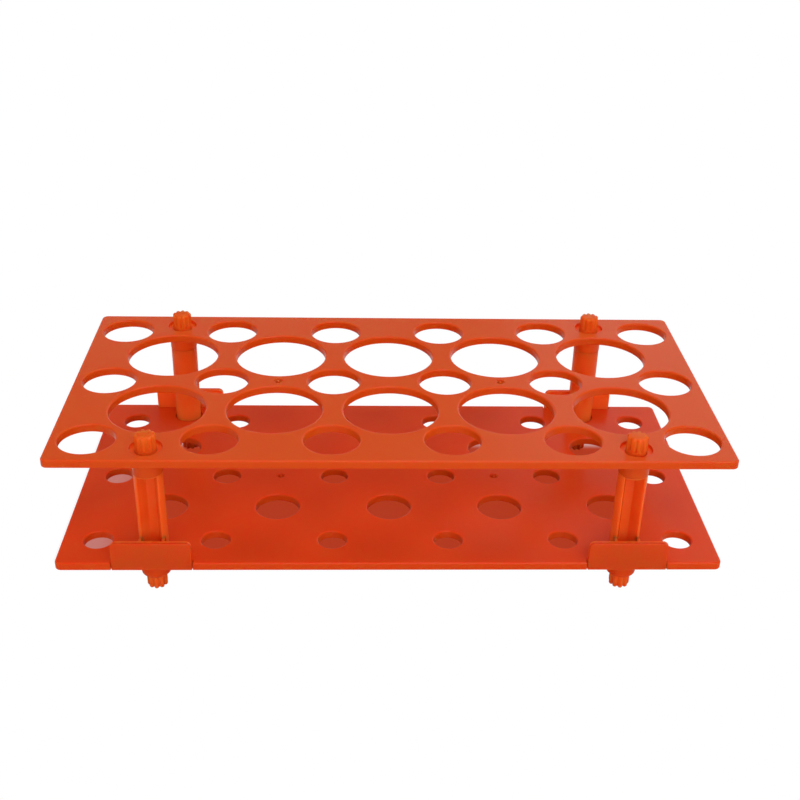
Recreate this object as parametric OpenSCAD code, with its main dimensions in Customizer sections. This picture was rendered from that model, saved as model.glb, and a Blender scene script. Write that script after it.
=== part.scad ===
// Knock-down tube rack: two drilled plates joined by four pegged pillars.
//
// Frame: millimetres, +Z up.  The rack stands on the XY plane, centred on the
// Z axis, with its length along X and its front towards -Y.
//
// Each plate has four tubular bosses on its underside.  A pillar's round shaft
// stands in a recess of the lower plate and carries the upper one on its boss;
// the splined peg at each of its ends runs through a boss and sticks out beyond
// it.  The lower pegs are the rack's feet.  A panel at the pillar's base drops
// into a notch in the long edge of the lower plate and keeps the pillar from
// turning.

/* [Tube grid] */
// Columns of small holes; the large holes lie between them
small_columns = 6; // [3:1:9]
// Rows of small holes; the large holes lie between them
small_rows = 3; // [2:1:5]
// Distance between neighbouring columns
column_pitch = 36.5; // [34:0.5:60]
// Distance between neighbouring rows of small holes
row_pitch = 37.5; // [35:0.5:60]
// From the outermost column to the end of the plate
end_margin = 11.25; // [10.5:0.25:30]
// From the outermost row to the long edge of the plate
side_margin = 12.5; // [11:0.5:30]

/* [Holes] */
// Small hole in the upper plate, for a 15 ml tube
upper_small_d = 17.1; // [10:0.1:18]
// Large hole in the upper plate, for a 50 ml tube
upper_large_d = 30.1; // [20:0.1:31]
// Small hole in the lower plate, for the tip of a 15 ml tube
lower_small_d = 9; // [5:0.1:14]
// Larger hole in the lower plate, for the tip of a 50 ml tube
lower_large_d = 14.2; // [8:0.1:26]

/* [Plates] */
// Thickness of each plate
plate_thickness = 2.7; // [2:0.1:5]
// Radius of the plates' upright corners
plate_corner_radius = 2; // [1:0.5:8]

/* [Bosses] */
// Outer diameter of a boss
boss_d = 9.2; // [8.4:0.1:10]
// Height of a boss below its plate
boss_height = 5.6; // [3:0.1:12]
// Rounding of a boss's lower edge
boss_edge_radius = 0.9; // [0.3:0.1:1]
// Fillet where a boss meets its plate
boss_root_radius = 0.8; // [0.3:0.1:1.5]
// Depth of the recess in the plate's top above a boss
recess_depth = 1.1; // [0.3:0.1:1.5]
// From a boss's axis to the long edge of its plate
pillar_inset = 7.7; // [7.2:0.1:9]

/* [Pegs] */
// Diameter over a peg's splines
peg_d = 6.4; // [5:0.1:6.6]
// Gap all round between a peg and the bore of its boss
peg_clearance = 0.1; // [0.05:0.05:0.3]
// Length of an upper peg that sticks out above its plate
peg_reach = 4.6; // [2:0.1:12]
// Length of a lower peg that sticks out below its boss: a foot of the rack
foot_reach = 5.1; // [2:0.1:12]
// Number of splines
splines = 9; // [6:1:12]
// Width of the groove between two splines
groove_width = 1.1; // [0.6:0.1:1.3]
// Chamfer at the end of a peg
peg_chamfer = 0.8; // [0.2:0.1:1.2]

/* [Shafts] */
// Length of a shaft between the lower plate's top and the upper bosses
shaft_length = 28.3; // [15:0.1:80]
// Diameter of a shaft
shaft_d = 9; // [7.4:0.1:9.2]
// Gap all round between a shaft and the recess it stands in
seat_clearance = 0.35; // [0.2:0.05:0.8]
// From the peg's axis inwards to the floor of the groove in the outer side
groove_floor = 1.8; // [0.8:0.1:2.4]
// Width of the groove's floor
floor_width = 2.7; // [1.6:0.1:3]
// Angle of each of the groove's walls to the fore-and-aft plane
wall_angle = 19; // [10:1:20]
// How far the groove's lips are cut back from the shaft's circle
lip_cut = 1.4; // [1:0.1:2]
// Solid end of the shaft under each peg
shaft_end = 0.6; // [0.6:0.1:4]

/* [Panels] */
// Width of a pillar's panel
panel_width = 24.5; // [14:0.5:32]
// Height of the panel above the lower plate
panel_height = 7.1; // [3:0.1:14]
// Thickness of the panel
panel_thickness = 1.7; // [1.2:0.1:2.4]
// Rounding of the panel's upper corners
panel_corner_radius = 1.7; // [0.5:0.1:2.5]
// Gap between the panel and its notch
panel_clearance = 0.15; // [0.05:0.05:0.4]
// Thickness of the two ribs between a panel and its shaft
rib_thickness = 0.9; // [0.6:0.1:1]
// Drop from the panel's top edge to the ribs
rib_drop = 1; // [0:0.1:2]

/* [Hidden] */

$fn = 64;
// Cutters run this far past the faces they open
over = 1;

large_columns = small_columns - 1;
large_rows = small_rows - 1;
plate_length = large_columns * column_pitch + 2 * end_margin;
plate_depth = large_rows * row_pitch + 2 * side_margin;

// Pillars stand in line with the outermost large holes
pillar_x = (large_columns - 1) / 2 * column_pitch;
pillar_y = plate_depth / 2 - pillar_inset;

lower_plate_z = foot_reach + boss_height;
deck_z = lower_plate_z + plate_thickness;
upper_plate_z = deck_z + shaft_length + boss_height;
// A shaft stands on the floor of its recess
seat_z = deck_z - recess_depth;

peg_r = peg_d / 2;
bore_r = peg_r + peg_clearance;
shaft_r = shaft_d / 2;
recess_r = shaft_r + seat_clearance;

// Inner edge of a groove's lips, from the peg's axis
lip_y = shaft_r - lip_cut;
lip_x = floor_width / 2 + (groove_floor + lip_y) * tan(wall_angle);

// Rectangle with round corners, centred on the origin
module rounded_rectangle(length, depth, radius) {
    square([length - 2 * radius, depth], center = true);
    square([length, depth - 2 * radius], center = true);
    for (x = [-1, 1], y = [-1, 1])
        translate([x * (length / 2 - radius), y * (depth / 2 - radius)])
            circle(radius);
}

// Children at each point of a centred grid
module on_grid(columns, rows, pitch_x, pitch_y) {
    for (column = [0 : columns - 1], row = [0 : rows - 1])
        translate([
            (column - (columns - 1) / 2) * pitch_x,
            (row - (rows - 1) / 2) * pitch_y,
            0
        ])
            children();
}

module at_pillars() {
    on_grid(2, 2, 2 * pillar_x, 2 * pillar_y)
        children();
}

// Profile of a boss that hangs below z = 0, to turn about the Z axis
module boss_profile() {
    boss_r = boss_d / 2;
    translate([0, -boss_height + boss_edge_radius])
        square([boss_r, boss_height - boss_edge_radius]);
    translate([0, -boss_height])
        square([boss_r - boss_edge_radius, boss_height]);
    translate([boss_r - boss_edge_radius, -boss_height + boss_edge_radius])
        circle(boss_edge_radius);
    // Fillet against the plate
    difference() {
        translate([boss_r - boss_edge_radius / 2, -boss_root_radius])
            square([boss_root_radius + boss_edge_radius / 2, boss_root_radius]);
        translate([boss_r + boss_root_radius, -boss_root_radius])
            circle(boss_root_radius);
    }
}

// Through holes of both kinds, for a plate whose underside is at z = 0
module tube_holes(small_d, large_d) {
    drill = plate_thickness + 2 * over;
    translate([0, 0, -over]) {
        on_grid(small_columns, small_rows, column_pitch, row_pitch)
            cylinder(h = drill, d = small_d);
        on_grid(large_columns, large_rows, column_pitch, row_pitch)
            cylinder(h = drill, d = large_d);
    }
}

// Plate with its bosses, underside at z = 0
module plate(small_d, large_d) {
    difference() {
        union() {
            linear_extrude(plate_thickness)
                rounded_rectangle(plate_length, plate_depth, plate_corner_radius);
            at_pillars()
                rotate_extrude()
                    boss_profile();
        }
        tube_holes(small_d, large_d);
        at_pillars() {
            translate([0, 0, -boss_height - over])
                cylinder(h = boss_height + plate_thickness + 2 * over, r = bore_r);
            translate([0, 0, plate_thickness - recess_depth])
                cylinder(h = recess_depth + over, r = recess_r);
        }
    }
}

// Notches in the long edges that take the pillars' panels
module panel_notches() {
    notch_width = panel_width + 2 * panel_clearance;
    notch_depth = panel_thickness + panel_clearance;
    for (x = [-pillar_x, pillar_x], side = [-1, 1])
        translate([x, side * (plate_depth / 2 - notch_depth / 2 + over / 2), plate_thickness / 2])
            cube([notch_width, notch_depth + over, plate_thickness + 2 * over], center = true);
}

// Section of a splined peg, with one spline towards -Y
module peg_section() {
    difference() {
        circle(peg_r);
        for (i = [0 : splines - 1])
            rotate(-90 + (i + 0.5) * 360 / splines)
                translate([peg_r, 0])
                    circle(d = groove_width);
    }
}

// Peg that rises from z = 0, with a chamfered end
module peg(length) {
    intersection() {
        linear_extrude(length)
            peg_section();
        rotate_extrude()
            polygon([
                [0, 0],
                [peg_r, 0],
                [peg_r, length - peg_chamfer],
                [peg_r - peg_chamfer, length],
                [0, length]
            ]);
    }
}

// Section of a shaft about the peg's axis: a disc with flat lips towards -Y
// and, between them, a groove whose walls spread towards its mouth
module shaft_section() {
    mouth_x = lip_x + over * tan(wall_angle);
    difference() {
        circle(shaft_r);
        translate([-shaft_r, -lip_y - shaft_r])
            square([shaft_d, shaft_r]);
        polygon([
            [-floor_width / 2, groove_floor],
            [floor_width / 2, groove_floor],
            [mouth_x, -lip_y - over],
            [-mouth_x, -lip_y - over]
        ]);
    }
}

// Shaft with solid round ends, from z = 0
module shaft() {
    length = recess_depth + shaft_length;
    linear_extrude(length)
        shaft_section();
    for (z = [0, length - shaft_end])
        translate([0, 0, z])
            cylinder(h = shaft_end, r = shaft_r);
}

// Outline of a panel from its lower edge, with round upper corners
module panel_outline() {
    height = plate_thickness + panel_height;
    translate([-panel_width / 2, 0])
        square([panel_width, height - panel_corner_radius]);
    translate([panel_corner_radius - panel_width / 2, 0])
        square([panel_width - 2 * panel_corner_radius, height]);
    for (side = [-1, 1])
        translate([
            side * (panel_width / 2 - panel_corner_radius),
            height - panel_corner_radius
        ])
            circle(panel_corner_radius);
}

// Panel flush with the plate's edge, and the ribs that join it to the lips of
// the shaft; z = 0 is the top of the lower plate
module panel() {
    translate([0, panel_thickness - pillar_inset, -plate_thickness])
        rotate([90, 0, 0])
            linear_extrude(panel_thickness)
                panel_outline();
    rib_length = pillar_inset - panel_thickness / 2;
    for (x = [-lip_x - rib_thickness, lip_x])
        translate([x, -rib_length, 0])
            cube([rib_thickness, rib_length, panel_height - rib_drop]);
}

// Pillar about the Z axis, with its panel towards -Y and its lower peg on z = 0.
// Each peg is rooted in a solid end of the shaft.
module pillar() {
    translate([0, 0, seat_z]) {
        shaft();
        translate([0, 0, shaft_end])
            mirror([0, 0, 1])
                peg(shaft_end + seat_z);
        translate([0, 0, recess_depth + shaft_length - shaft_end])
            peg(shaft_end + boss_height + plate_thickness + peg_reach);
    }
    translate([0, 0, deck_z])
        panel();
}

// Pillar at one corner: side_x and side_y are -1 or 1
module corner_pillar(side_x, side_y) {
    color([0.84, 0.29, 0.10])
        translate([side_x * pillar_x, side_y * pillar_y, 0])
            rotate(side_y > 0 ? 180 : 0)
                pillar();
}

module upper_plate() {
    color([0.84, 0.29, 0.10])
        translate([0, 0, upper_plate_z])
            plate(upper_small_d, upper_large_d);
}

module lower_plate() {
    color([0.80, 0.23, 0.09])
        translate([0, 0, lower_plate_z])
            difference() {
                plate(lower_small_d, lower_large_d);
                panel_notches();
            }
}

module pillar_front_left() { corner_pillar(-1, -1); }
module pillar_front_right() { corner_pillar(1, -1); }
module pillar_rear_left() { corner_pillar(-1, 1); }
module pillar_rear_right() { corner_pillar(1, 1); }

upper_plate();
lower_plate();
pillar_front_left();
pillar_front_right();
pillar_rear_left();
pillar_rear_right();
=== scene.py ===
"""Dresses a knock-down tube rack: two drilled plates on four pegged pillars.

Shapes are drawn in millimetres in the rack's own frame, +Z up, with the front
towards -Y and the feet on z = 0, and become metres when a mesh is made.
"""

from __future__ import annotations

import logging
import math
from collections.abc import Iterator, Sequence
from dataclasses import dataclass, field
from enum import Enum

import bpy
from mathutils import Matrix, Vector
from mathutils.geometry import tessellate_polygon

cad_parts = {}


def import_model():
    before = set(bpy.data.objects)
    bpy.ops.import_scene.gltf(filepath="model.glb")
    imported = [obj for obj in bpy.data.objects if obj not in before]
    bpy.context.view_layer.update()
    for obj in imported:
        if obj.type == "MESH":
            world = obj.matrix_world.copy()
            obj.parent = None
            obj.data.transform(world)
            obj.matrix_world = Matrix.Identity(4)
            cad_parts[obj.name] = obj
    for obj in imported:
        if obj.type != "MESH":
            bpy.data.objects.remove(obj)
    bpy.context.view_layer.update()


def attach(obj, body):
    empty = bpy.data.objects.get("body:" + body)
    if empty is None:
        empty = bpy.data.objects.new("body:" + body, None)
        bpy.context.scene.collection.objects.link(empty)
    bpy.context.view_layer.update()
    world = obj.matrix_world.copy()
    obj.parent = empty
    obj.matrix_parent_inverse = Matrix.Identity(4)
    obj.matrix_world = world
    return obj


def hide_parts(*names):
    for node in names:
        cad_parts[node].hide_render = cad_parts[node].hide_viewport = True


LOG = logging.getLogger("tube_rack")
MM = 0.001
UP = Vector((0.0, 0.0, 1.0))


# Sizes -----------------------------------------------------------------------


@dataclass(frozen=True)
class TubeGrid:
    """Where the holes stand: small ones on a grid, large ones between them.

    Attributes:
        small_columns: Number of small holes along X.
        small_rows: Number of small holes along Y.
        column_pitch: Distance from one column to the next.
        row_pitch: Distance from one row to the next.
        end_margin: From the last column to a plate's end.
        side_margin: From the last row to a plate's long edge.
    """

    small_columns: int = 6
    small_rows: int = 3
    column_pitch: float = 36.5
    row_pitch: float = 37.5
    end_margin: float = 11.25
    side_margin: float = 12.5

    @property
    def length(self) -> float:
        """Length of a plate along X."""
        return (self.small_columns - 1) * self.column_pitch + 2 * self.end_margin

    @property
    def depth(self) -> float:
        """Depth of a plate along Y."""
        return (self.small_rows - 1) * self.row_pitch + 2 * self.side_margin

    def _points(self, columns: int, rows: int) -> Iterator[tuple[float, float]]:
        """Lists the points of a centred grid at the tube pitches.

        Args:
            columns: Number of points along X.
            rows: Number of points along Y.

        Yields:
            The x and y of each point.
        """
        for column in range(columns):
            for row in range(rows):
                yield (
                    (column - (columns - 1) / 2) * self.column_pitch,
                    (row - (rows - 1) / 2) * self.row_pitch,
                )

    def small(self) -> list[tuple[float, float]]:
        """Centres of the small holes."""
        return list(self._points(self.small_columns, self.small_rows))

    def large(self) -> list[tuple[float, float]]:
        """Centres of the large holes."""
        return list(self._points(self.small_columns - 1, self.small_rows - 1))


@dataclass(frozen=True)
class PillarSizes:
    """Sizes of a pillar and of the seats that it needs in the plates.

    Attributes:
        inset: From a plate's long edge to the pillar's axis.
        boss_radius: Outer radius of a plate's boss.
        boss_height: How far a boss stands below its plate.
        recess_radius: Radius of the recess above a boss.
        recess_depth: Depth of that recess.
        peg_radius: Radius over a peg's splines.
        peg_clearance: Gap between a peg and its bore.
        peg_reach: How far an upper peg stands above its plate.
        foot_reach: How far a lower peg stands below its boss.
        splines: Number of splines round a peg.
        peg_tip: Radius of the round at a peg's tip.
        shaft_length: From the lower plate's upper face to the shaft's upper end.
        shaft_radius: Radius of the shaft.
        shaft_end: Thickness of the shaft's ungrooved ends.
        groove_floor: How far behind the axis the groove's floor lies.
        floor_width: Width of that floor.
        wall_angle: Lean of the groove's walls.
        lip_cut: How far inside the circle the groove's mouth is measured.
        lip_radius: Radius of the groove's lips.
        panel_width: Width of the panel.
        panel_height: Height of the panel above the lower plate.
        panel_thickness: Thickness of the panel.
        panel_corner: Radius of the panel's upper corners.
        panel_clearance: Gap between the panel and its notch.
        rib_thickness: Thickness of the ribs between the shaft and the panel.
        rib_drop: How far the ribs end below the panel's upper edge.
    """

    inset: float = 7.7
    boss_radius: float = 4.6
    boss_height: float = 5.6
    recess_radius: float = 4.85
    recess_depth: float = 1.1
    peg_radius: float = 3.2
    peg_clearance: float = 0.04
    peg_reach: float = 4.6
    foot_reach: float = 5.1
    splines: int = 9
    peg_tip: float = 0.8
    shaft_length: float = 28.3
    shaft_radius: float = 4.5
    shaft_end: float = 0.25
    groove_floor: float = 1.8
    floor_width: float = 2.7
    wall_angle: float = math.radians(19)
    lip_cut: float = 1.4
    lip_radius: float = 0.35
    panel_width: float = 24.5
    panel_height: float = 7.1
    panel_thickness: float = 1.7
    panel_corner: float = 1.7
    panel_clearance: float = 0.15
    rib_thickness: float = 0.9
    rib_drop: float = 1.0


@dataclass(frozen=True)
class Layout:
    """Where the rack's parts stand and how high its main faces lie.

    Attributes:
        plate_thickness: Thickness of both plates.
        grid: Places of the tube holes.
        pillar: Sizes of the pillars and of their seats.
    """

    plate_thickness: float = 2.7
    grid: TubeGrid = field(default_factory=TubeGrid)
    pillar: PillarSizes = field(default_factory=PillarSizes)

    @property
    def pillar_x(self) -> float:
        """Distance of a pillar's axis from the rack's middle along X."""
        return (self.grid.small_columns - 2) / 2 * self.grid.column_pitch

    @property
    def pillar_y(self) -> float:
        """Distance of a pillar's axis from the rack's middle along Y."""
        return self.grid.depth / 2 - self.pillar.inset

    @property
    def lower_plate(self) -> float:
        """Underside of the lower plate."""
        return self.pillar.foot_reach + self.pillar.boss_height

    @property
    def deck(self) -> float:
        """Upper face of the lower plate."""
        return self.lower_plate + self.plate_thickness

    @property
    def seat(self) -> float:
        """Floor of the recess that a shaft stands in."""
        return self.deck - self.pillar.recess_depth

    @property
    def shaft_top(self) -> float:
        """Upper end of the shafts, under the upper bosses."""
        return self.deck + self.pillar.shaft_length

    @property
    def upper_plate(self) -> float:
        """Underside of the upper plate."""
        return self.shaft_top + self.pillar.boss_height

    @property
    def top(self) -> float:
        """Upper face of the upper plate."""
        return self.upper_plate + self.plate_thickness

    @property
    def peg_top(self) -> float:
        """Tips of the upper pegs."""
        return self.top + self.pillar.peg_reach


# Outlines and profiles -------------------------------------------------------

# A trace of a shrunk corner is left, so that no two of its points ever meet
CORNER_ROOM = 0.98
# Least cosine of half a corner's turn, which keeps its mitre short
LEAST_COSINE = 0.1


@dataclass(frozen=True)
class Rim:
    """One point of an outline.

    Attributes:
        point: The point.
        out: Direction that faces out of the material.
        room: How far the outline can shrink before the point's corner is sharp.
        mitre: How the sharp corner moves for each further millimetre.
    """

    point: Vector
    out: Vector
    room: float = math.inf
    mitre: Vector | None = None

    def shrunk(self, inset: float) -> Vector:
        """Moves the point inwards.

        Args:
            inset: How far the outline shrinks.

        Returns:
            Where the point lies on the shrunk outline.
        """
        if inset <= self.room or self.mitre is None:
            return self.point - self.out * inset
        return self.point - self.out * self.room - self.mitre * (inset - self.room)


Outline = list[Rim]


@dataclass(frozen=True)
class Arc:
    """A round stretch of an outline; straight stretches join one arc to the next.

    Attributes:
        x: The centre's x.
        y: The centre's y.
        radius: Radius of the arc.
        start: Direction from the centre to its start, in radians.
        end: The same for its end.
        hollow: True if it bends round a point outside the material, and runs clockwise.
    """

    x: float
    y: float
    radius: float
    start: float
    end: float
    hollow: bool = False

    def points(self, steps: int) -> Outline:
        """Divides the arc into equal chords.

        Args:
            steps: Number of chords.

        Returns:
            The arc's points, both ends included.
        """
        centre = Vector((self.x, self.y, 0.0))
        middle, spread = (self.start + self.end) / 2, (self.end - self.start) / 2
        room = self.radius * CORNER_ROOM
        bisector = Vector((math.cos(middle), math.sin(middle), 0.0))
        mitre = bisector / max(LEAST_COSINE, math.cos(spread))
        rims = []
        for step in range(steps + 1):
            angle = self.start + (self.end - self.start) * step / steps
            ray = Vector((math.cos(angle), math.sin(angle), 0.0))
            point = centre + ray * self.radius
            rims.append(Rim(point, -ray) if self.hollow else Rim(point, ray, room, mitre))
        return rims


def outline_of(arcs: Sequence[Arc], step_angle: float = math.radians(9)) -> Outline:
    """Divides a closed loop of arcs finely enough for smooth edges.

    Args:
        arcs: The loop's arcs, with the material on the left.
        step_angle: Largest turn between two points, in radians.

    Returns:
        The loop's points with their outward directions.
    """
    loop: Outline = []
    for arc in arcs:
        steps = max(3, math.ceil(abs(arc.end - arc.start) / step_angle))
        loop.extend(arc.points(steps))
    return loop


def rounded_polygon(corners: Sequence[tuple[float, float, float]]) -> Outline:
    """Rounds the corners of a polygon that runs anticlockwise.

    Args:
        corners: Each corner's x, y and radius.

    Returns:
        The outline's points with their outward directions.
    """
    arcs = []
    for index, (x, y, radius) in enumerate(corners):
        before = Vector(corners[index - 1][:2])
        after = Vector(corners[(index + 1) % len(corners)][:2])
        here = Vector((x, y))
        arrive = (here - before).normalized()
        leave = (after - here).normalized()
        turn = arrive.x * leave.y - arrive.y * leave.x
        side = 1.0 if turn > 0 else -1.0
        inward = Vector((-arrive.y, arrive.x)) * side
        half = math.atan2(abs(turn), arrive.dot(leave)) / 2
        centre = here - arrive * (radius * math.tan(half)) + inward * radius
        start = math.atan2(-inward.y, -inward.x)
        arcs.append(
            Arc(centre.x, centre.y, radius, start, start + side * 2 * half, side < 0)
        )
    return outline_of(arcs)


def rounded_box(width: float, depth: float, radius: float) -> Outline:
    """Outline of a centred rectangle with equal round corners."""
    x, y = width / 2, depth / 2
    return rounded_polygon(
        [(-x, -y, radius), (x, -y, radius), (x, y, radius), (-x, y, radius)]
    )


@dataclass(frozen=True)
class Station:
    """One ring of a swept wall.

    Attributes:
        inset: How far the ring lies inside the outline, into the material.
        height: Height of the ring.
        out: Share of the surface normal along the outline's own normal.
        up: Share of the surface normal along +Z.
    """

    inset: float
    height: float
    out: float
    up: float


def wall_profile(
    bottom: float, top: float, bottom_round: float, top_round: float, steps: int = 5
) -> list[Station]:
    """Stations up a wall whose two edges are rounded.

    Args:
        bottom: Height of the lower face.
        top: Height of the upper face.
        bottom_round: Radius of the lower edge.
        top_round: Radius of the upper edge.
        steps: Number of strips round each edge.

    Returns:
        The stations from the lower face to the upper one.
    """
    turns = [math.pi / 2 * step / steps for step in range(steps + 1)]
    lower = [
        Station(
            bottom_round * (1 - math.sin(turn)),
            bottom + bottom_round * (1 - math.cos(turn)),
            math.sin(turn),
            -math.cos(turn),
        )
        for turn in turns
    ]
    upper = [
        Station(
            top_round * (1 - math.cos(turn)),
            top - top_round * (1 - math.sin(turn)),
            math.cos(turn),
            math.sin(turn),
        )
        for turn in turns
    ]
    return lower + upper


# Radius, height, and the radial and upright parts of the normal
ProfilePoint = tuple[float, float, float, float]


@dataclass(frozen=True)
class Bend:
    """A quarter round, or part of one, in the profile of a turned surface.

    Attributes:
        radius: Distance of the bend's centre from the axis.
        height: Height of the bend's centre.
        round: The bend's own radius; negative where the surface is hollow.
        first: Direction from the centre at its start, in degrees.
        last: The same at its end.
    """

    radius: float
    height: float
    round: float
    first: float
    last: float

    def points(self, steps: int) -> list[ProfilePoint]:
        """Divides the bend into equal steps.

        Args:
            steps: Number of steps.

        Returns:
            The bend's points, both ends included.
        """
        sign = math.copysign(1.0, self.round)
        size = abs(self.round)
        points = []
        for step in range(steps + 1):
            angle = math.radians(self.first + (self.last - self.first) * step / steps)
            across, up = math.cos(angle), math.sin(angle)
            points.append(
                (self.radius + size * across, self.height + size * up, sign * across, sign * up)
            )
        return points


def profile_of(bends: Sequence[Bend], steps: int = 5) -> list[ProfilePoint]:
    """Joins bends by straight stretches into the profile of a turned surface."""
    return [point for bend in bends for point in bend.points(steps)]


# Meshes ----------------------------------------------------------------------

Ring = list[int]


class Moulding:
    """Collects rings, walls and faces of one moulded piece, in millimetres.

    Attributes:
        name: Name of the piece and of its mesh.
        points: The piece's points in the rack's frame.
        normals: The surface normal at each point.
        faces: Indices of each face's points.
        place: Where the next rings and caps are drawn.
    """

    def __init__(self, name: str) -> None:
        """Starts an empty piece.

        Args:
            name: Name of the piece.
        """
        self.name = name
        self.points: list[Vector] = []
        self.normals: list[Vector] = []
        self.faces: list[tuple[int, ...]] = []
        self.place = Matrix.Identity(4)

    def ring(self, points: Sequence[Vector], normals: Sequence[Vector]) -> Ring:
        """Adds a closed ring of points.

        Args:
            points: The ring's points, before the piece's placing.
            normals: The surface normal at each point.

        Returns:
            The indices of the new points.
        """
        first = len(self.points)
        turn = self.place.to_3x3()
        self.points.extend(self.place @ point for point in points)
        self.normals.extend((turn @ normal).normalized() for normal in normals)
        return list(range(first, first + len(points)))

    def strip(self, lower: Ring, upper: Ring) -> None:
        """Joins two rings of equal count by a band of quads.

        Args:
            lower: The first ring.
            upper: The second ring.
        """
        count = len(lower)
        for index in range(count):
            after = (index + 1) % count
            self.faces.append((lower[index], lower[after], upper[after], upper[index]))

    def wall(self, rings: Sequence[Ring]) -> tuple[Ring, Ring]:
        """Joins each ring to the next.

        Args:
            rings: Rings of equal count, from one end of the wall to the other.

        Returns:
            The first and the last ring.
        """
        for lower, upper in zip(rings, rings[1:]):
            self.strip(lower, upper)
        return rings[0], rings[-1]

    def sweep(self, outline: Outline, stations: Sequence[Station]) -> tuple[Ring, Ring]:
        """Sweeps an outline through the stations of a wall.

        Args:
            outline: The outline, with the material on its left.
            stations: The wall's rings from the bottom to the top.

        Returns:
            The first and the last ring.
        """
        rings = []
        for station in stations:
            lift = UP * station.height
            points = [rim.shrunk(station.inset) + lift for rim in outline]
            normals = [rim.out * station.out + UP * station.up for rim in outline]
            rings.append(self.ring(points, normals))
        return self.wall(rings)

    def lathe(
        self, x: float, y: float, profile: Sequence[ProfilePoint], segments: int
    ) -> tuple[Ring, Ring]:
        """Turns a profile about an upright axis, to bound a hole in the material.

        Args:
            x: The axis's x.
            y: The axis's y.
            profile: Radius, height, and the normal's radial and upright parts.
            segments: Number of strips round the axis.

        Returns:
            The first and the last ring.
        """
        rings = []
        for radius, height, radial, upright in profile:
            points, normals = [], []
            for segment in range(segments):
                angle = -2 * math.pi * segment / segments
                ray = Vector((math.cos(angle), math.sin(angle), 0.0))
                points.append(Vector((x, y, height)) + ray * radius)
                normals.append(ray * radial + UP * upright)
            rings.append(self.ring(points, normals))
        return self.wall(rings)

    def cap(self, loops: Sequence[Ring], facing: float) -> None:
        """Fills a flat face between an outer loop and the holes in it.

        Args:
            loops: The outer ring first, then the holes.
            facing: +1 if the face looks up in the piece's own frame, or -1.
        """
        inverse = self.place.inverted()
        indices = [index for loop in loops for index in loop]
        flat = [
            [(inverse @ self.points[index]).to_2d().to_3d() for index in loop] for loop in loops
        ]
        corners = [point for loop in flat for point in loop]
        for a, b, c in tessellate_polygon(flat):
            area = (corners[b] - corners[a]).cross(corners[c] - corners[a]).z
            order = (a, b, c) if area * facing > 0 else (a, c, b)
            self.faces.append(tuple(indices[corner] for corner in order))

    def build(self) -> bpy.types.Object:
        """Makes the piece's object.

        Returns:
            The object, in metres and linked to the scene.
        """
        mesh = bpy.data.meshes.new(self.name)
        mesh.from_pydata([point * MM for point in self.points], [], self.faces)
        mesh.update()
        mesh.polygons.foreach_set("use_smooth", [True] * len(mesh.polygons))
        mesh.normals_split_custom_set_from_vertices(self.normals)
        piece = bpy.data.objects.new(self.name, mesh)
        bpy.context.scene.collection.objects.link(piece)
        return piece


@dataclass(kw_only=True)
class Part:
    """A moulded part of the rack, which stands for one solid.

    Attributes:
        name: Name of the solid.
        layout: The rack's shared sizes.
    """

    name: str
    layout: Layout = field(default_factory=Layout)

    def mould(self) -> Moulding:
        """Draws the part's skin, each kind of part in its own way."""
        raise NotImplementedError

    def build(self, plastic: bpy.types.Material, slot: str) -> None:
        """Builds the part, gives it its finish and lets it stand for its solid.

        Args:
            plastic: The finish.
            slot: Not used.
        """
        piece = self.mould().build()
        piece.data.materials.append(plastic)
        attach(piece, "root")
        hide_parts(self.name)
        LOG.info("%s: %d faces", piece.name, len(piece.data.polygons))


# Plates ----------------------------------------------------------------------


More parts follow.
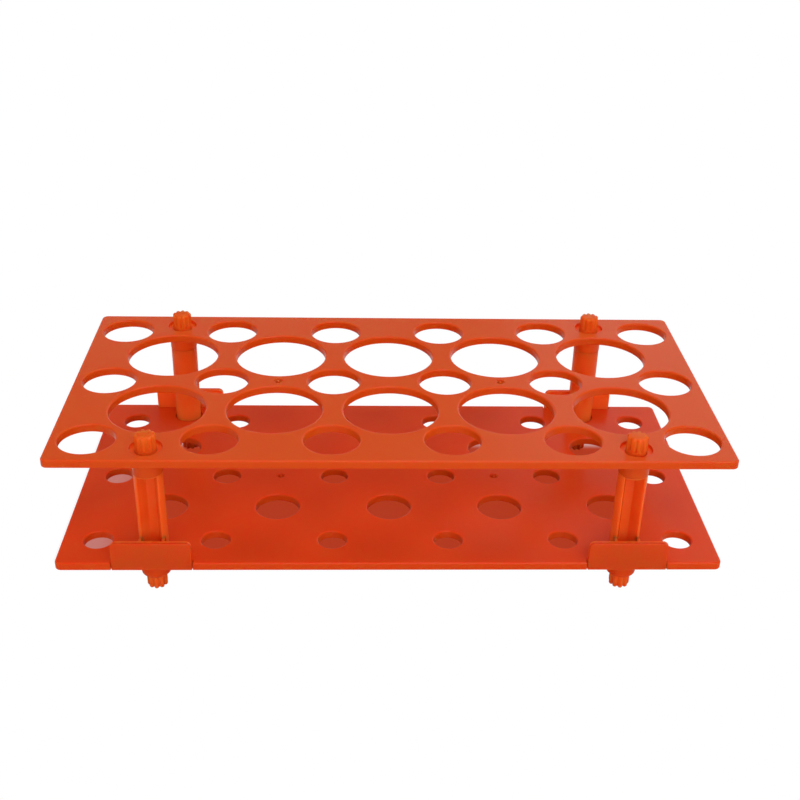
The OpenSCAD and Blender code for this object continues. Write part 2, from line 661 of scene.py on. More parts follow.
@dataclass(kw_only=True)
class Plate(Part):
    """A drilled plate with four bosses under it.

    Attributes:
        base: Height of the underside.
        small_radius: Radius of the small holes.
        large_radius: Radius of the large holes.
        notched: True if the long edges are notched for the pillars' panels.
        boss_edge: Radius of the bosses' lower edge.
        boss_root: Radius of the hollow where a boss meets the plate.
        bore_edge: Radius of the edges of a boss's bore.
        corner_radius: Radius of the plate's corners.
        top_round: Radius of the upper edges.
        bottom_round: Radius of the lower edges.
        notch_mouth: Radius of a notch's outer corners.
        notch_corner: Radius of its inner corners.
        recess_edge: Radius of a recess's upper edge.
        gate_radius: Radius of a moulding gate's dimple.
        gate_depth: Depth of the dimple.
        gate_nub: Height of the nub in its middle.
        gate_flat: Radius of the flat on the nub.
        small_segments: Number of strips round a small hole.
        large_segments: Number of strips round a large hole.
        boss_segments: Number of strips round a boss.
        gate_segments: Number of strips round a gate mark.
    """

    base: float
    small_radius: float
    large_radius: float
    notched: bool
    boss_edge: float
    boss_root: float = 0.8
    bore_edge: float = 0.2
    corner_radius: float = 2.0
    top_round: float = 0.6
    bottom_round: float = 0.35
    notch_mouth: float = 0.25
    notch_corner: float = 0.3
    recess_edge: float = 0.25
    gate_radius: float = 1.4
    gate_depth: float = 0.35
    gate_nub: float = 0.45
    gate_flat: float = 0.05
    small_segments: int = 72
    large_segments: int = 120
    boss_segments: int = 64
    gate_segments: int = 24

    @property
    def top(self) -> float:
        """Height of the upper face."""
        return self.base + self.layout.plate_thickness

    def _outline(self) -> Outline:
        """Draws the plate's outline.

        Returns:
            The outline, with its notches where it has them.
        """
        x, y = self.layout.grid.length / 2, self.layout.grid.depth / 2
        if not self.notched:
            return rounded_box(2 * x, 2 * y, self.corner_radius)
        pillar = self.layout.pillar
        half = pillar.panel_width / 2 + pillar.panel_clearance
        bite = pillar.panel_thickness + pillar.panel_clearance
        front = [(-x, -y, self.corner_radius)]
        for axis in (-self.layout.pillar_x, self.layout.pillar_x):
            front.append((axis - half, -y, self.notch_mouth))
            front.append((axis - half, bite - y, self.notch_corner))
            front.append((axis + half, bite - y, self.notch_corner))
            front.append((axis + half, -y, self.notch_mouth))
        front.append((x, -y, self.corner_radius))
        return rounded_polygon(front + [(-a, -b, radius) for a, b, radius in front])

    def _hole_profile(self, radius: float) -> list[ProfilePoint]:
        """Profile of a hole's wall, with rounded rims."""
        stations = wall_profile(self.base, self.top, self.bottom_round, self.top_round)
        return [(radius + s.inset, s.height, -s.out, s.up) for s in stations]

    def _boss_profile(self) -> list[ProfilePoint]:
        """Draws the profile of a boss, its bore and the recess above it.

        Returns:
            The profile, from the plate's underside round to its upper face.
        """
        pillar = self.layout.pillar
        root, edge, rim, lip = self.boss_root, self.boss_edge, self.bore_edge, self.recess_edge
        foot = self.base - pillar.boss_height
        floor = self.top - pillar.recess_depth
        bore = pillar.peg_radius + pillar.peg_clearance + rim
        seat = pillar.recess_radius
        return profile_of(
            [
                Bend(pillar.boss_radius + root, self.base - root, -root, 90, 180),
                Bend(pillar.boss_radius - edge, foot + edge, edge, 0, -90),
                Bend(bore, foot + rim, rim, -90, -180),
                Bend(bore, floor - rim, rim, 180, 90),
                Bend(seat - rim, floor + rim, -rim, -90, 0),
                Bend(seat + lip, self.top - lip, lip, 180, 90),
            ]
        )

    def _gate_profile(self) -> list[ProfilePoint]:
        """Draws the profile of a moulding gate's dimple.

        Returns:
            The profile, from the nub in its middle to the upper face.
        """
        floor = self.top - self.gate_depth
        rim = self.gate_depth / 2
        return profile_of(
            [
                Bend(self.gate_flat, floor, self.gate_nub, 90, 0),
                Bend(self.gate_radius - rim, floor + rim, -rim, -90, 0),
                Bend(self.gate_radius + rim, self.top - rim, rim, 180, 90),
            ]
        )

    def _openings(self) -> Iterator[tuple[float, float, list[ProfilePoint], int]]:
        """Lists what goes through the plate: tube holes, then bosses.

        Yields:
            Each opening's x, y, profile and number of strips.
        """
        small, large = self._hole_profile(self.small_radius), self._hole_profile(self.large_radius)
        for x, y in self.layout.grid.small():
            yield x, y, small, self.small_segments
        for x, y in self.layout.grid.large():
            yield x, y, large, self.large_segments
        for side_y in (-1, 1):
            for side_x in (-1, 1):
                x, y = side_x * self.layout.pillar_x, side_y * self.layout.pillar_y
                yield x, y, self._boss_profile(), self.boss_segments

    def mould(self) -> Moulding:
        """Draws the plate.

        Returns:
            The plate as one closed skin.
        """
        plate = Moulding(f"{self.name}_skin")
        stations = wall_profile(self.base, self.top, self.bottom_round, self.top_round)
        below, above = plate.sweep(self._outline(), stations)
        undersides, tops = [below], [above]
        for side in (-1, 1):
            x = side * self.layout.grid.column_pitch
            nub, rim = plate.lathe(x, 0.0, self._gate_profile(), self.gate_segments)
            plate.cap([nub], 1)
            tops.append(rim)
        for x, y, profile, segments in self._openings():
            below, above = plate.lathe(x, y, profile, segments)
            undersides.append(below)
            tops.append(above)
        plate.cap(undersides, -1)
        plate.cap(tops, 1)
        return plate


# Pillars ---------------------------------------------------------------------


@dataclass(kw_only=True)
class Pillar(Part):
    """A round grooved shaft with a splined peg at each end and a panel at its foot.

    Attributes:
        side_x: -1 for a pillar on the left, +1 on the right.
        side_y: -1 for a pillar at the front, +1 at the rear.
        floor_corner: Radius between the groove's floor and its walls.
        panel_edge: Radius of the edges of the panel's faces.
        panel_foot: Radius of the panel's lower corners.
        rib_edge: Radius of a rib's upper edge.
        rib_foot: Radius of its lower edge.
        rib_corner: Radius of its upright edges.
        rib_sink: How far a rib runs into the panel.
        rib_root: How far it runs into the shaft.
        flute_depth: Depth of the flutes between a peg's splines.
        flute_power: Power of the wave that shapes the flutes, above 1 for narrow ones.
        flute_runout: Length over which the flutes fade out.
        flutes_above: How far above the upper plate the full flutes start.
        flutes_within: How far inside the lower boss they start.
        notch_depth: How deep the flutes notch a peg's tip.
        peg_segments: Number of strips round a peg.
        tip_steps: Number of strips in the round of its tip.
        shaft_step: Largest turn between two points round the shaft.
        on_circle: How far inside the circle a point still counts as on it.
    """

    side_x: int
    side_y: int
    floor_corner: float = 0.3
    panel_edge: float = 0.3
    panel_foot: float = 0.3
    rib_edge: float = 0.2
    rib_foot: float = 0.05
    rib_corner: float = 0.15
    rib_sink: float = 0.05
    rib_root: float = 0.3
    flute_depth: float = 0.6
    flute_power: float = 1.6
    flute_runout: float = 0.4
    flutes_above: float = 0.2
    flutes_within: float = 0.3
    notch_depth: float = 0.25
    peg_segments: int = 144
    tip_steps: int = 6
    shaft_step: float = math.radians(6)
    on_circle: float = 1e-4

    def _place(self) -> Matrix:
        """Stands the pillar with its groove and panel away from the rack.

        Returns:
            The pillar's place in the rack.
        """
        spot = (self.side_x * self.layout.pillar_x, self.side_y * self.layout.pillar_y, 0.0)
        turn = Matrix.Rotation(math.pi if self.side_y > 0 else 0.0, 4, "Z")
        return Matrix.Translation(spot) @ turn

    def _grooved(self) -> Outline:
        """Draws the section of the shaft.

        Returns:
            The outline, with the groove open towards -Y.
        """
        sizes = self.layout.pillar
        angle, lip = sizes.wall_angle, sizes.lip_radius
        normal = Vector((math.cos(angle), math.sin(angle)))
        along = Vector((math.sin(angle), -math.cos(angle)))
        corner = Vector((sizes.floor_width / 2, sizes.groove_floor))
        # The lip's centre lies a lip radius inside both the wall and the circle
        start = corner + normal * lip
        reach = sizes.shaft_radius - lip
        middle = start.dot(along)
        centre = start + along * (math.sqrt(middle**2 - start.length_squared + reach**2) - middle)
        outer = math.atan2(centre.y, centre.x)
        slide = self.floor_corner * math.tan((math.pi / 2 - angle) / 2)
        hollow = corner + along * slide - normal * self.floor_corner
        full = 2 * math.pi
        arcs = [
            Arc(0, 0, sizes.shaft_radius, outer, math.pi - outer),
            Arc(-centre.x, centre.y, lip, math.pi - outer, full - angle),
            Arc(-hollow.x, hollow.y, self.floor_corner, math.pi - angle, math.pi / 2, True),
            Arc(hollow.x, hollow.y, self.floor_corner, math.pi / 2, angle, True),
            Arc(centre.x, centre.y, lip, math.pi + angle, full + outer),
        ]
        return outline_of(arcs, self.shaft_step)

    def _rounded(self, grooved: Outline) -> Outline:
        """Draws the section of the shaft's solid ends.

        Args:
            grooved: The grooved section.

        Returns:
            The full circle, with a point for each one of the grooved section.
        """
        radius = self.layout.pillar.shaft_radius
        rounded = []
        for rim in grooved:
            point = rim.point.copy()
            if point.length <= radius - self.on_circle:
                point.y = -math.sqrt(radius**2 - point.x**2)
            rounded.append(Rim(point, point.normalized()))
        return rounded

    @staticmethod
    def _level_ring(shape: Moulding, outline: Outline, height: float, up: float | None) -> Ring:
        """Adds an outline's ring at a height.

        Args:
            shape: The piece to add to.
            outline: The outline.
            height: Height of the ring.
            up: +1 if it faces up, -1 if down, or None if outwards.

        Returns:
            The new ring.
        """
        points = [rim.point + UP * height for rim in outline]
        normals = [rim.out if up is None else UP * up for rim in outline]
        return shape.ring(points, normals)

    def _shaft(self, shape: Moulding) -> tuple[Ring, Ring]:
        """Adds the shaft with its solid ends.

        Args:
            shape: The piece to add to.

        Returns:
            The rings that bound the shaft's lower and upper faces.
        """
        grooved = self._grooved()
        rounded = self._rounded(grooved)
        bottom, top = self.layout.seat, self.layout.shaft_top
        end = self.layout.pillar.shaft_end
        # Section, height and facing of the two rings that bound each band
        bands = [
            ((rounded, bottom, None), (rounded, bottom + end, None)),
            ((rounded, bottom + end, 1), (grooved, bottom + end, 1)),
            ((grooved, bottom + end, None), (grooved, top - end, None)),
            ((grooved, top - end, -1), (rounded, top - end, -1)),
            ((rounded, top - end, None), (rounded, top, None)),
        ]
        for lower, upper in bands:
            shape.strip(self._level_ring(shape, *lower), self._level_ring(shape, *upper))
        return (
            self._level_ring(shape, rounded, bottom, -1),
            self._level_ring(shape, rounded, top, 1),
        )

    def _flute(self, turn: float) -> tuple[float, float]:
        """Depth of a peg's flutes at an angle from a spline's middle.

        Args:
            turn: The angle.

        Returns:
            The depth as a share of the deepest, and how fast it changes with the angle.
        """
        splines, power = self.layout.pillar.splines, self.flute_power
        phase = turn * splines
        share = (1 - math.cos(phase)) / 2
        slope = power * share ** (power - 1) * math.sin(phase) / 2 * splines
        return share**power, slope

    def _peg(self, shape: Moulding, base: float, length: float, exposed: float, way: int) -> Ring:
        """Adds a splined peg with a round tip.

        Args:
            shape: The piece to add to.
            base: Height of the shaft's face that the peg stands on.
            length: How far it reaches from there.
            exposed: Length of the part that shows its splines.
            way: +1 for a peg that points up, -1 for one that points down.

        Returns:
            The ring at its root.
        """
        sizes = self.layout.pillar
        tip, deepest = sizes.peg_tip, self.flute_depth
        smooth = length - exposed
        # Each station is a rise, a fade of the flutes and the turn of its normal
        stations = [(0.0, 0.0, 0.0), (smooth - self.flute_runout, 0.0, 0.0), (smooth, 1.0, 0.0)]
        stations += [
            (length - tip, 1.0, math.pi / 2 * step / self.tip_steps)
            for step in range(self.tip_steps + 1)
        ]
        rings = []
        for rise, fade, turn in stations:
            points, normals = [], []
            across, up = math.cos(turn), math.sin(turn)
            for segment in range(self.peg_segments):
                about = 2 * math.pi * segment / self.peg_segments
                share, slope = self._flute(about)
                angle = way * about - math.pi / 2
                ray = Vector((math.cos(angle), math.sin(angle), 0.0))
                side = Vector((-ray.y, ray.x, 0.0))
                own = sizes.peg_radius - deepest * fade * share
                flank = (ray * own + side * (way * deepest * fade * slope)).normalized()
                radius = own - tip * (1 - across)
                height = rise + tip * up - self.notch_depth * share * up
                points.append(ray * radius + UP * (base + way * height))
                normals.append(flank * across + UP * (way * up))
            rings.append(shape.ring(points, normals))
        shape.wall(rings)
        shape.cap([rings[-1]], way)
        inverse = shape.place.inverted()
        root = [inverse @ shape.points[index] for index in rings[0]]
        return shape.ring(root, [UP * way] * len(root))

    def _panel(self, shape: Moulding) -> None:
        """Adds the panel at the pillar's foot.

        Args:
            shape: The piece to add to.
        """
        sizes = self.layout.pillar
        height = self.layout.plate_thickness + sizes.panel_height
        x, foot, corner = sizes.panel_width / 2, self.panel_foot, sizes.panel_corner
        outline = rounded_polygon(
            [(-x, 0, foot), (x, 0, foot), (x, height, corner), (-x, height, corner)]
        )
        place = shape.place.copy()
        upright = Matrix.Rotation(math.pi / 2, 4, "X")
        inner_face = sizes.panel_thickness - sizes.inset
        seat = Matrix.Translation((0.0, inner_face, self.layout.lower_plate))
        shape.place = place @ seat @ upright
        edges = wall_profile(0, sizes.panel_thickness, self.panel_edge, self.panel_edge)
        inner, outer = shape.sweep(outline, edges)
        shape.cap([inner], -1)
        shape.cap([outer], 1)
        shape.place = place

    def _ribs(self, shape: Moulding) -> None:
        """Adds the two ribs that join the panel to the shaft.

        Args:
            shape: The piece to add to.
        """
        sizes = self.layout.pillar
        lip_y = sizes.shaft_radius - sizes.lip_cut
        lip_x = sizes.floor_width / 2 + (sizes.groove_floor + lip_y) * math.tan(sizes.wall_angle)
        front = sizes.panel_thickness - sizes.inset - self.rib_sink
        outside = lip_x + sizes.rib_thickness
        back = -math.sqrt(sizes.shaft_radius**2 - outside**2) + self.rib_root
        section = rounded_box(sizes.rib_thickness, back - front, self.rib_corner)
        crest = self.layout.deck + sizes.panel_height - sizes.rib_drop
        stations = wall_profile(self.layout.deck, crest, self.rib_foot, self.rib_edge)
        place = shape.place.copy()
        for side in (-1, 1):
            middle = side * (lip_x + sizes.rib_thickness / 2)
            shape.place = place @ Matrix.Translation((middle, (front + back) / 2, 0.0))
            low, high = shape.sweep(section, stations)
            shape.cap([low], -1)
            shape.cap([high], 1)
        shape.place = place

    def mould(self) -> Moulding:
        """Draws the pillar.

        Returns:
            The shaft with its pegs as one closed skin, and the panel and ribs.
        """
        shape = Moulding(f"{self.name}_skin")
        shape.place = self._place()
        low, high = self._shaft(shape)
        layout, sizes = self.layout, self.layout.pillar
        upper = layout.peg_top - layout.shaft_top
        shown_above = sizes.peg_reach - self.flutes_above
        shown_below = sizes.foot_reach + self.flutes_within
        upper_root = self._peg(shape, layout.shaft_top, upper, shown_above, 1)
        lower_root = self._peg(shape, layout.seat, layout.seat, shown_below, -1)
        shape.cap([high, upper_root], 1)
        shape.cap([low, lower_root], -1)
        self._panel(shape)
        self._ribs(shape)
        return shape


# Shading ---------------------------------------------------------------------

Colour = tuple[float, float, float, float]

# Where a mask starts to rise and where it is full
Fade = tuple[float, float]


class Shade:
    """A socket that can stand in an expression; each operator adds a Math node."""

    def __init__(self, graph: Graph, socket: bpy.types.NodeSocket) -> None:
        """Wraps a socket of a graph."""
        self.graph = graph
        self.socket = socket

    def _math(self, operation: str, first: Shade | float, second: Shade | float) -> Shade:
        """Adds a Math node that combines two values."""
        return self.graph.add(
            "ShaderNodeMath",
            {"operation": operation},
            {"Value": first, "Value_001": second},
            "Value",
        )

    def __add__(self, other: Shade | float) -> Shade:
        """Adds a value."""
        return self._math("ADD", self, other)

    __radd__ = __add__

    def __sub__(self, other: Shade | float) -> Shade:
        """Takes a value away."""
        return self._math("SUBTRACT", self, other)

    def __rsub__(self, other: Shade | float) -> Shade:
        """Is taken away from a value."""
        return self._math("SUBTRACT", other, self)

    def __neg__(self) -> Shade:
        """Turns the sign."""
        return self._math("MULTIPLY", self, -1.0)

    def __mul__(self, other: Shade | float) -> Shade:
        """Multiplies by a value."""
        return self._math("MULTIPLY", self, other)

    __rmul__ = __mul__

    def __abs__(self) -> Shade:
        """Drops the sign."""
        return self._math("ABSOLUTE", self, 0.0)

    def at_least(self, limit: Shade | float) -> Shade:
        """The larger of the value and a limit."""
        return self._math("MAXIMUM", self, limit)


class Graph:
    """A node tree that is written as expressions."""

    def __init__(self, tree: bpy.types.NodeTree) -> None:
        """Clears a tree and starts writing in it."""
        tree.nodes.clear()
        self.tree = tree

    def node(
        self, kind: str, settings: dict[str, object], sockets: dict[str, object]
    ) -> bpy.types.Node:
        """Adds a node.

        Args:
            kind: The node's type.
            settings: Its settings, which are set before its sockets.
            sockets: A value or a link for each input, by the input's identifier.

        Returns:
            The node.
        """
        node = self.tree.nodes.new(kind)
        for setting, value in settings.items():
            setattr(node, setting, value)
        inputs = {socket.identifier: socket for socket in node.inputs}
        for identifier, value in sockets.items():
            if isinstance(value, Shade):
                self.tree.links.new(value.socket, inputs[identifier])
            else:
                inputs[identifier].default_value = value
        return node

    def add(
        self, kind: str, settings: dict[str, object], sockets: dict[str, object], output: str
    ) -> Shade:
        """Adds a node that stands in an expression by one of its outputs.

        Args:
            kind: The node's type.
            settings: Its settings.
            sockets: A value or a link for each input.
            output: Identifier of the output.

        Returns:
            That output.
        """
        node = self.node(kind, settings, sockets)
        outputs = {socket.identifier: socket for socket in node.outputs}
        return Shade(self, outputs[output])

    def axes(self, vector: Shade) -> list[Shade]:
        """The X, Y and Z of a vector."""
        node = self.node("ShaderNodeSeparateXYZ", {}, {"Vector": vector})
        return [Shade(self, socket) for socket in node.outputs]

    def place(self) -> list[Shade]:
        """The surface's own X, Y and Z on the rack, in millimetres."""
        metres = self.add("ShaderNodeNewGeometry", {}, {}, "Position")
        return self.axes(
            self.add(
                "ShaderNodeVectorMath",
                {"operation": "SCALE"},
                {"Vector": metres, "Scale": 1 / MM},
                "Vector",
            )
        )

    def ray(self, kind: str) -> Shade:
        """1 for rays of a kind, such as Is Camera Ray, and 0 for others."""
        return self.add("ShaderNodeLightPath", {}, {}, kind)

    def mix(self, factor: Shade | float, first: Shade | Colour, second: Shade | Colour) -> Shade:
        """Mixes two colours by a factor."""
        return self.add(
            "ShaderNodeMix",
            {"data_type": "RGBA"},
            {"Factor_Float": factor, "A_Color": first, "B_Color": second},
            "Result_Color",
        )

    def blend(self, factor: Shade | float, first: Shade, second: Shade) -> Shade:
        """Mixes two shaders by a factor."""
        return self.add(
            "ShaderNodeMixShader",
            {},
            {"Fac": factor, "Shader": first, "Shader_001": second},
            "Shader",
        )

    def step(self, value: Shade, low: float, high: float) -> Shade:
        """Rises smoothly from 0 to 1 while a value goes from low to high."""
        return self.add(
            "ShaderNodeMapRange",
            {"interpolation_type": "SMOOTHSTEP"},
            {"Value": value, "From Min": low, "From Max": high},
            "Result",
        )

    def noise(self, where: Shade, scale: float, detail: float) -> Shade:
        """Smooth noise from 0 to 1, with so many lumps to the metre."""
        return self.add(
            "ShaderNodeTexNoise",
            {},
            {"Vector": where, "Scale": scale, "Detail": detail},
            "Fac",
        )

    def glow(self, colour: Colour) -> Shade:
        """A surface that sends out a colour as it is written."""
        return self.add(
            "ShaderNodeEmission", {}, {"Color": colour, "Strength": 1.0}, "Emission"
        )


def linear(red: int, green: int, blue: int) -> Colour:
    """Turns a display colour into the linear one of a shader.

    Args:
        red: Red, from 0 to 255.
        green: Green.
        blue: Blue.

    Returns:
        The colour, from 0 to 1, and opaque.
    """
    channels = []
    for value in (red, green, blue):
        share = value / 255
        channels.append(share / 12.92 if share <= 0.04045 else ((share + 0.055) / 1.055) ** 2.4)
    return (*channels, 1.0)


WHITE = linear(255, 255, 255)
# How far beyond a boss the zones round a pillar's axis fade out
BOSS_FADE = 0.7


class Zone(Enum):
    """Places painted lighter where light gathers in the plastic and darker where it leaves it.

    The values are where a zone fades in and out again, in millimetres above the
    face, or beyond the line, that the comments name.
    """

    # Painted light: the feet of the shafts lighter, for light through the plastic in their shade
    # The lower plate's upper face
    SHAFT_FOOT = ((-2.4, -0.4), (2.6, 13.6))
    # Painted light: the peg tips yellower and less red than the rest of the pillar
    # Painted light: the recesses round the upper pegs lighter, where shade gathers in them
    # The upper plate's upper face
    PEG_TIP = ((-0.5, 2.5), None)
    RECESS = ((-3.0, -2.0), (-0.7, -0.1))
    # Painted shade: the outer faces of the panels darker than the rest of the pillar
    # The plates' long edges
    PANEL_FACE = ((-1.3, -0.5), None)
    # Painted light: the rear bosses lighter, where they lie in shade under the upper plate
    # The rack's middle, towards the rear
    REAR_BOSS = ((-1.0, 1.0), None)

    def mask(self, graph: Graph, layout: Layout) -> Shade:
        """Marks the zone.

        Args:
            graph: The node tree that needs the mask.
            layout: The rack's shared sizes.

        Returns:
            1 in the zone and 0 outside it, with soft ends.
        """
        x, y, z = graph.place()
        if self is Zone.PANEL_FACE:
            measure = abs(y) - layout.grid.depth / 2
        elif self is Zone.REAR_BOSS:
            measure = y
        else:
            measure = z - (layout.deck if self is Zone.SHAFT_FOOT else layout.top)
        fade_in, fade_out = self.value
        mask = graph.step(measure, *fade_in)
        if fade_out:
            mask = mask * (1.0 - graph.step(measure, *fade_out))
        if self in (Zone.RECESS, Zone.REAR_BOSS):
            across, along = abs(x) - layout.pillar_x, abs(y) - layout.pillar_y
            radius = layout.pillar.boss_radius
            faded = radius + BOSS_FADE
            mask = mask * (1.0 - graph.step(across * across + along * along, radius**2, faded**2))
        return mask


@dataclass(frozen=True)
class Polypropylene:
    """Glossy, slightly see-through moulded plastic.

    Attributes:
        name: Name of the material.
        face: Colour of the broad faces.
        wall: Colour painted on upright walls and rims for the extra light that comes through them.
        cloud: Colour of the faint clouds in the melt.
        painted_light_and_shade: Colours of the zones where light gathers, in the order of
            painting.
        roughness: Roughness of the polished faces.
        glow: Share of the light that goes into the plastic and comes out again.
        depth: How far that light runs in the plastic, in metres.
        spread: How far red, green and blue light run, as shares of the depth.
        upright: How level a surface is where it starts and ends to turn from wall to face.
        wall_share: How much of the wall's colour the walls take.
        cloud_share: How much of the clouds' colour the clouds take.
        gloss: Weight of the clear gloss on the level faces.
        cloud_sheen: How much the clouds change the roughness.
        grain_sheen: How much the fine grain changes it.
        wave_relief: Share of the slow waves in the relief.
        grain_relief: Share of the fine grain in the relief.
    """

    name: str
    face: Colour
    wall: Colour
    cloud: Colour
    painted_light_and_shade: tuple[tuple[Zone, Colour], ...] = ()
    roughness: float = 0.24
    glow: float = 0.7
    depth: float = 0.002
    spread: tuple[float, float, float] = (1.0, 0.06, 0.03)
    upright: Fade = (0.25, 0.95)
    wall_share: float = 0.85
    cloud_share: float = 0.35
    gloss: float = 0.33
    cloud_sheen: float = 0.05
    grain_sheen: float = 0.04
    wave_relief: float = 0.7
    grain_relief: float = 0.05

    def make(self, layout: Layout) -> bpy.types.Material:
        """Makes the material.

        Args:
            layout: The rack's shared sizes, for the zones.

        Returns:
            A material for the parts that have this finish.
        """
        material = bpy.data.materials.new(self.name)
        material.use_nodes = True
        graph = Graph(material.node_tree)
        where = graph.add("ShaderNodeTexCoord", {}, {}, "Object")
        _, _, tilt = graph.axes(graph.add("ShaderNodeNewGeometry", {}, {}, "Normal"))
        wall = 1.0 - graph.step(abs(tilt), *self.upright)
        clouds = graph.step(graph.noise(where, scale=28.0, detail=3.0), low=0.35, high=0.75)
        grain = graph.noise(where, scale=900.0, detail=2.0)
        waves = graph.noise(where, scale=55.0, detail=1.0)
        colour = graph.mix(clouds * self.cloud_share, self.face, self.cloud)
        # Walls and rims take a colour painted for the light that comes through them
        colour = graph.mix(wall * self.wall_share, colour, self.wall)
        # Paints light and shade into the colour, zone by zone
        for zone, tint in self.painted_light_and_shade:
            colour = graph.mix(zone.mask(graph, layout), colour, tint)
        sheen = (clouds - 0.5) * self.cloud_sheen + (grain - 0.5) * self.grain_sheen
        height = waves * self.wave_relief + grain * self.grain_relief
        relief = graph.add(
            "ShaderNodeBump",
            {},
            {"Strength": 0.12, "Distance": 0.0004, "Height": height},
            "Normal",
        )
        surface = graph.add(
            "ShaderNodeBsdfPrincipled",
            {"subsurface_method": "RANDOM_WALK"},
            {
                "Base Color": colour,
                "Roughness": self.roughness + sheen,
                "Normal": relief,
                "IOR": 1.49,
                "Specular IOR Level": 0.08,
                "Subsurface Weight": self.glow,
                "Subsurface Radius": self.spread,
                "Subsurface Scale": self.depth,
                "Coat Weight": (1.0 - wall) * self.gloss,
                "Coat Roughness": 0.25,
                "Coat IOR": 1.5,
            },
            "BSDF",
        )
        graph.node("ShaderNodeOutputMaterial", {}, {"Surface": surface})
        return material


# The rack --------------------------------------------------------------------


class Corner(Enum):
    """The rack's four corners: the sign of x, the sign of y."""

    FRONT_LEFT = (-1, -1)
    FRONT_RIGHT = (1, -1)
    REAR_LEFT = (-1, 1)
    REAR_RIGHT = (1, 1)


@dataclass(frozen=True)
class Rack:
    """The whole rack: its parts and their finishes.

    Attributes:
        layout: The rack's shared sizes.
        upper: Finish of the upper plate.
        lower: Finish of the lower plate.
        pillars: Finish of the pillars.
    """

    layout: Layout = Layout()
    upper: Polypropylene = Polypropylene(
        name="upper_plate_plastic",
        face=linear(214, 79, 24),
        # Colour painted on walls and rims for the light that comes through them
        wall=linear(205, 72, 12),
        cloud=linear(216, 84, 30),
        painted_light_and_shade=(
            # Painted light on the rear bosses
            (Zone.REAR_BOSS, linear(230, 84, 22)),
            # Painted light in the recesses round the pegs
            (Zone.RECESS, linear(245, 88, 24)),
        ),
    )
    lower: Polypropylene = Polypropylene(
        name="lower_plate_plastic",
        face=linear(222, 66, 14),
        # Colour painted on walls and rims for the light that comes through them
        wall=linear(205, 68, 12),
        cloud=linear(222, 74, 24),
    )
    pillars: Polypropylene = Polypropylene(
        name="pillar_plastic",
        face=linear(230, 92, 28),
        wall=linear(230, 92, 28),
        cloud=linear(234, 98, 34),
        painted_light_and_shade=(
            # Painted light on the feet of the shafts
            (Zone.SHAFT_FOOT, linear(250, 108, 40)),
            # Painted light on the peg tips
            (Zone.PEG_TIP, linear(220, 96, 26)),
            # Painted shade on the outer faces of the panels
            (Zone.PANEL_FACE, linear(196, 68, 16)),
        ),
        glow=1.0,
        depth=0.005,
    )

    def build(self) -> None:
        """Builds and dresses every part."""
        upper = Plate(
            name="upper_plate",
            layout=self.layout,
            base=self.layout.upper_plate,
            small_radius=8.55,
            large_radius=15.05,
            notched=False,
            boss_edge=0.4,
        )
        upper.build(self.upper.make(self.layout), self.upper.name)
        lower = Plate(
            name="lower_plate",
            layout=self.layout,
            base=self.layout.lower_plate,
            small_radius=4.5,
            large_radius=7.1,
            notched=True,
            boss_edge=0.9,
        )
        lower.build(self.lower.make(self.layout), self.lower.name)
        plastic = self.pillars.make(self.layout)
        for corner in Corner:
            side_x, side_y = corner.value
            name = f"pillar_{corner.name.lower()}"
            pillar = Pillar(name=name, layout=self.layout, side_x=side_x, side_y=side_y)
            pillar.build(plastic, self.pillars.name)


# The studio ------------------------------------------------------------------


@dataclass(frozen=True)
class Camera:
    """The camera, in front of the rack and above it.

    Attributes:
        eye: Its place, in millimetres.
        yaw: Turn of the view about the upright axis, in radians.
        pitch: Tilt of the view below the horizon, in radians.
        roll: Turn of the picture about the line of sight, in radians.
        lens: Focal length, in millimetres.
        sensor: Width of the sensor, in millimetres.
        clip: Nearest and farthest distance that it sees, in metres.
    """

    eye: tuple[float, float, float] = (-11.36, -344.76, 231.54)
    yaw: float = -0.0433
    pitch: float = 0.500
    roll: float = -0.0252
    lens: float = 53.4
    sensor: float = 36.0
    clip: tuple[float, float] = (0.01, 20.0)

    def build(self) -> None:
        """Makes the camera and looks through it."""
        ahead = Vector(
            (
                -math.sin(self.yaw) * math.cos(self.pitch),
                math.cos(self.yaw) * math.cos(self.pitch),
                -math.sin(self.pitch),
            )
        )
        right = Vector((math.cos(self.yaw), math.sin(self.yaw), 0.0))
        down = ahead.cross(right)
        tilt, lean = math.cos(self.roll), math.sin(self.roll)
        across = right * tilt + down * lean
        below = down * tilt - right * lean
        data = bpy.data.cameras.new("camera")
        data.lens = self.lens
        data.sensor_width = self.sensor
        data.clip_start, data.clip_end = self.clip
        camera = bpy.data.objects.new("camera", data)
        axes = Matrix((across, -below, -ahead)).transposed()
        camera.matrix_world = Matrix.Translation(Vector(self.eye) * MM) @ axes.to_4x4()
        bpy.context.scene.collection.objects.link(camera)
        bpy.context.scene.camera = camera


@dataclass(frozen=True)
class Surround:
    """A surround that is white to the camera and lights the rack more softly.

    Attributes:
        ambient: Strength at which it lights the rack.
        sheen: Strength at which it shows in the plastic's gloss from above.
        horizon: How much stronger it shows there near the horizon.
        climb: Rise of the direction, 1 for straight up, over which that extra fades out.
    """

    ambient: float = 0.58
    sheen: float = 0.06
    horizon: float = 0.35
    climb: Fade = (0.2, 0.38)

    def build(self) -> None:
        """Makes the world."""
        world = bpy.data.worlds.new("surround")
        bpy.context.scene.world = world
        world.use_nodes = True
        graph = Graph(world.node_tree)
        _, _, height = graph.axes(graph.add("ShaderNodeTexCoord", {}, {}, "Generated"))
        sheen = self.sheen + (1.0 - graph.step(height, *self.climb)) * self.horizon
        strength = self.ambient + graph.ray("Is Camera Ray") * (1.0 - self.ambient)
        strength = strength + graph.ray("Is Glossy Ray") * (sheen - self.ambient)
        surface = graph.add(
            "ShaderNodeBackground", {}, {"Color": WHITE, "Strength": strength}, "Background"
        )
        graph.node("ShaderNodeOutputWorld", {}, {"Surface": surface})


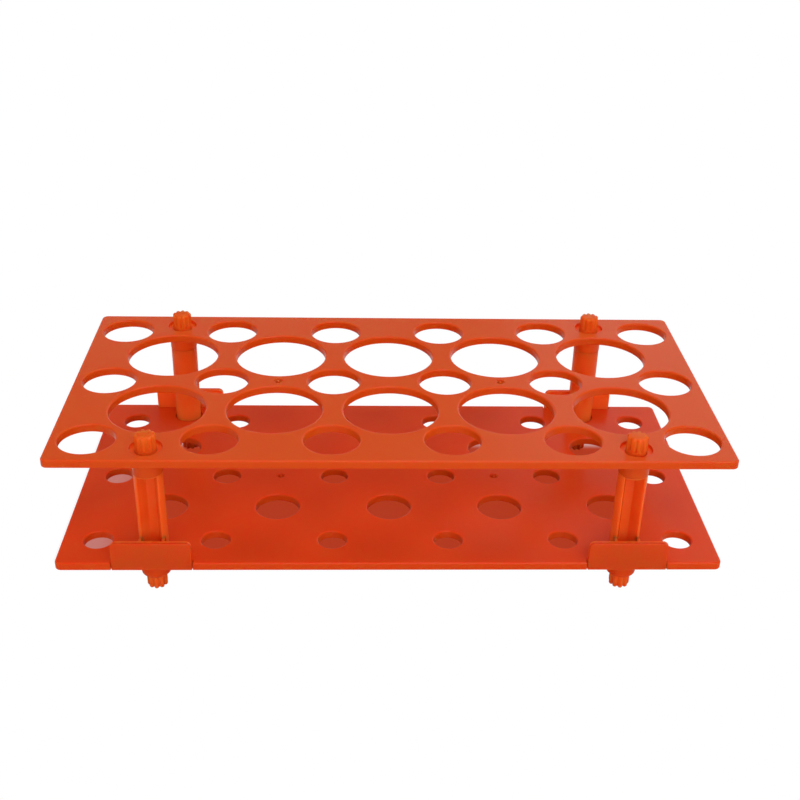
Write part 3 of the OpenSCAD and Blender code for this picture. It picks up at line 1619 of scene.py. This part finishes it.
@dataclass(frozen=True)
class Table:
    """A matt table, white to the camera, with a red shadow of the plastic painted under the rack.

    Attributes:
        reach: Half the length of its sides, in metres.
        grey: How much light it throws back.
        tint: Colour of the shadow painted under the rack.
        tint_share: How much of that colour the camera sees.
        half_length: Where the fades at the rack's ends are measured from.
        half_depth: Where those along its sides are measured from.
        left: Where the painted shadow fades out at the left end.
        haze: Where it has already begun to.
        haze_share: How much of it fades there.
        right: Where it fades out at the right end.
        sides: Where it fades out along both sides.
        front: Where it fades out before that along the front.
    """

    reach: float = 3.0
    grey: float = 0.86
    tint: Colour = linear(182, 57, 27)
    tint_share: float = 0.95
    half_length: float = 100.0
    half_depth: float = 50.0
    left: Fade = (4.0, 9.0)
    haze: Fade = (-20.0, -3.0)
    haze_share: float = 0.15
    right: Fade = (-18.0, -9.0)
    sides: Fade = (-10.0, 0.0)
    front: Fade = (-24.0, -19.0)

    def _beyond_painted_shadow(self, graph: Graph) -> Shade:
        """Marks the table away from the rack.

        Args:
            graph: The node tree that needs the mask.

        Returns:
            0 where the shadow is painted under the rack, and 1 where it isn't.
        """
        x, y, _ = graph.place()
        beyond = -x - self.half_length
        left = graph.step(beyond, *self.haze) * self.haze_share
        left = left + graph.step(beyond, *self.left) * (1.0 - self.haze_share)
        ends = left.at_least(graph.step(x - self.half_length, *self.right))
        sides = graph.step(abs(y) - self.half_depth, *self.sides)
        front = graph.step(-y - self.half_depth, *self.front)
        return ends.at_least(sides).at_least(front)

    def _make(self) -> bpy.types.Material:
        """Makes the table's material.

        Returns:
            The material.
        """
        material = bpy.data.materials.new("table_white")
        material.use_nodes = True
        graph = Graph(material.node_tree)
        seen = graph.ray("Is Camera Ray")
        grey = (self.grey, self.grey, self.grey, 1.0)
        matt = graph.add("ShaderNodeBsdfDiffuse", {}, {"Color": grey}, "BSDF")
        # The camera sees a red shadow painted under the rack; other rays see the matt table
        shaded = graph.blend(seen * self.tint_share, matt, graph.glow(self.tint))
        surface = graph.blend(seen * self._beyond_painted_shadow(graph), shaded, graph.glow(WHITE))
        graph.node("ShaderNodeOutputMaterial", {}, {"Surface": surface})
        return material

    def build(self) -> None:
        """Makes the table top, level with the rack's feet."""
        size = self.reach
        mesh = bpy.data.meshes.new("table")
        mesh.from_pydata(
            [(-size, -size, 0), (size, -size, 0), (size, size, 0), (-size, size, 0)],
            [],
            [(0, 1, 2, 3)],
        )
        mesh.materials.append(self._make())
        table = bpy.data.objects.new("table", mesh)
        bpy.context.scene.collection.objects.link(table)


@dataclass(frozen=True)
class Lamp:
    """A square soft lamp that looks at the foot of the rack's middle.

    Attributes:
        name: Name of the lamp.
        place: Where it hangs, in metres.
        size: Length of its sides, in metres.
        watts: Its power.
    """

    name: str
    place: tuple[float, float, float]
    size: float
    watts: float

    def build(self) -> None:
        """Hangs the lamp."""
        data = bpy.data.lights.new(self.name, "AREA")
        data.size = self.size
        data.energy = self.watts
        lamp = bpy.data.objects.new(self.name, data)
        lamp.location = self.place
        lamp.rotation_euler = (Vector(self.place) * -1).to_track_quat("-Z", "Y").to_euler()
        bpy.context.scene.collection.objects.link(lamp)


LAMPS = (
    Lamp("key", place=(0.65, 1.2, 0.6), size=0.9, watts=1.4),
    Lamp("rear", place=(-0.2, 1.3, 0.35), size=0.6, watts=0.35),
    Lamp("front", place=(0.25, -1.2, 0.7), size=1.2, watts=9.8),
    Lamp("overhead", place=(0.15, 0.0, 1.0), size=0.4, watts=1.5),
)


def main() -> None:
    """Builds the rack, its table and its light."""
    logging.basicConfig(level=logging.INFO, format="%(name)s: %(message)s")
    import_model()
    for item in (Rack(), Camera(), Surround(), Table(), *LAMPS):
        item.build()
    bpy.context.scene.view_settings.view_transform = "Standard"


if __name__ == "__main__":
    main()
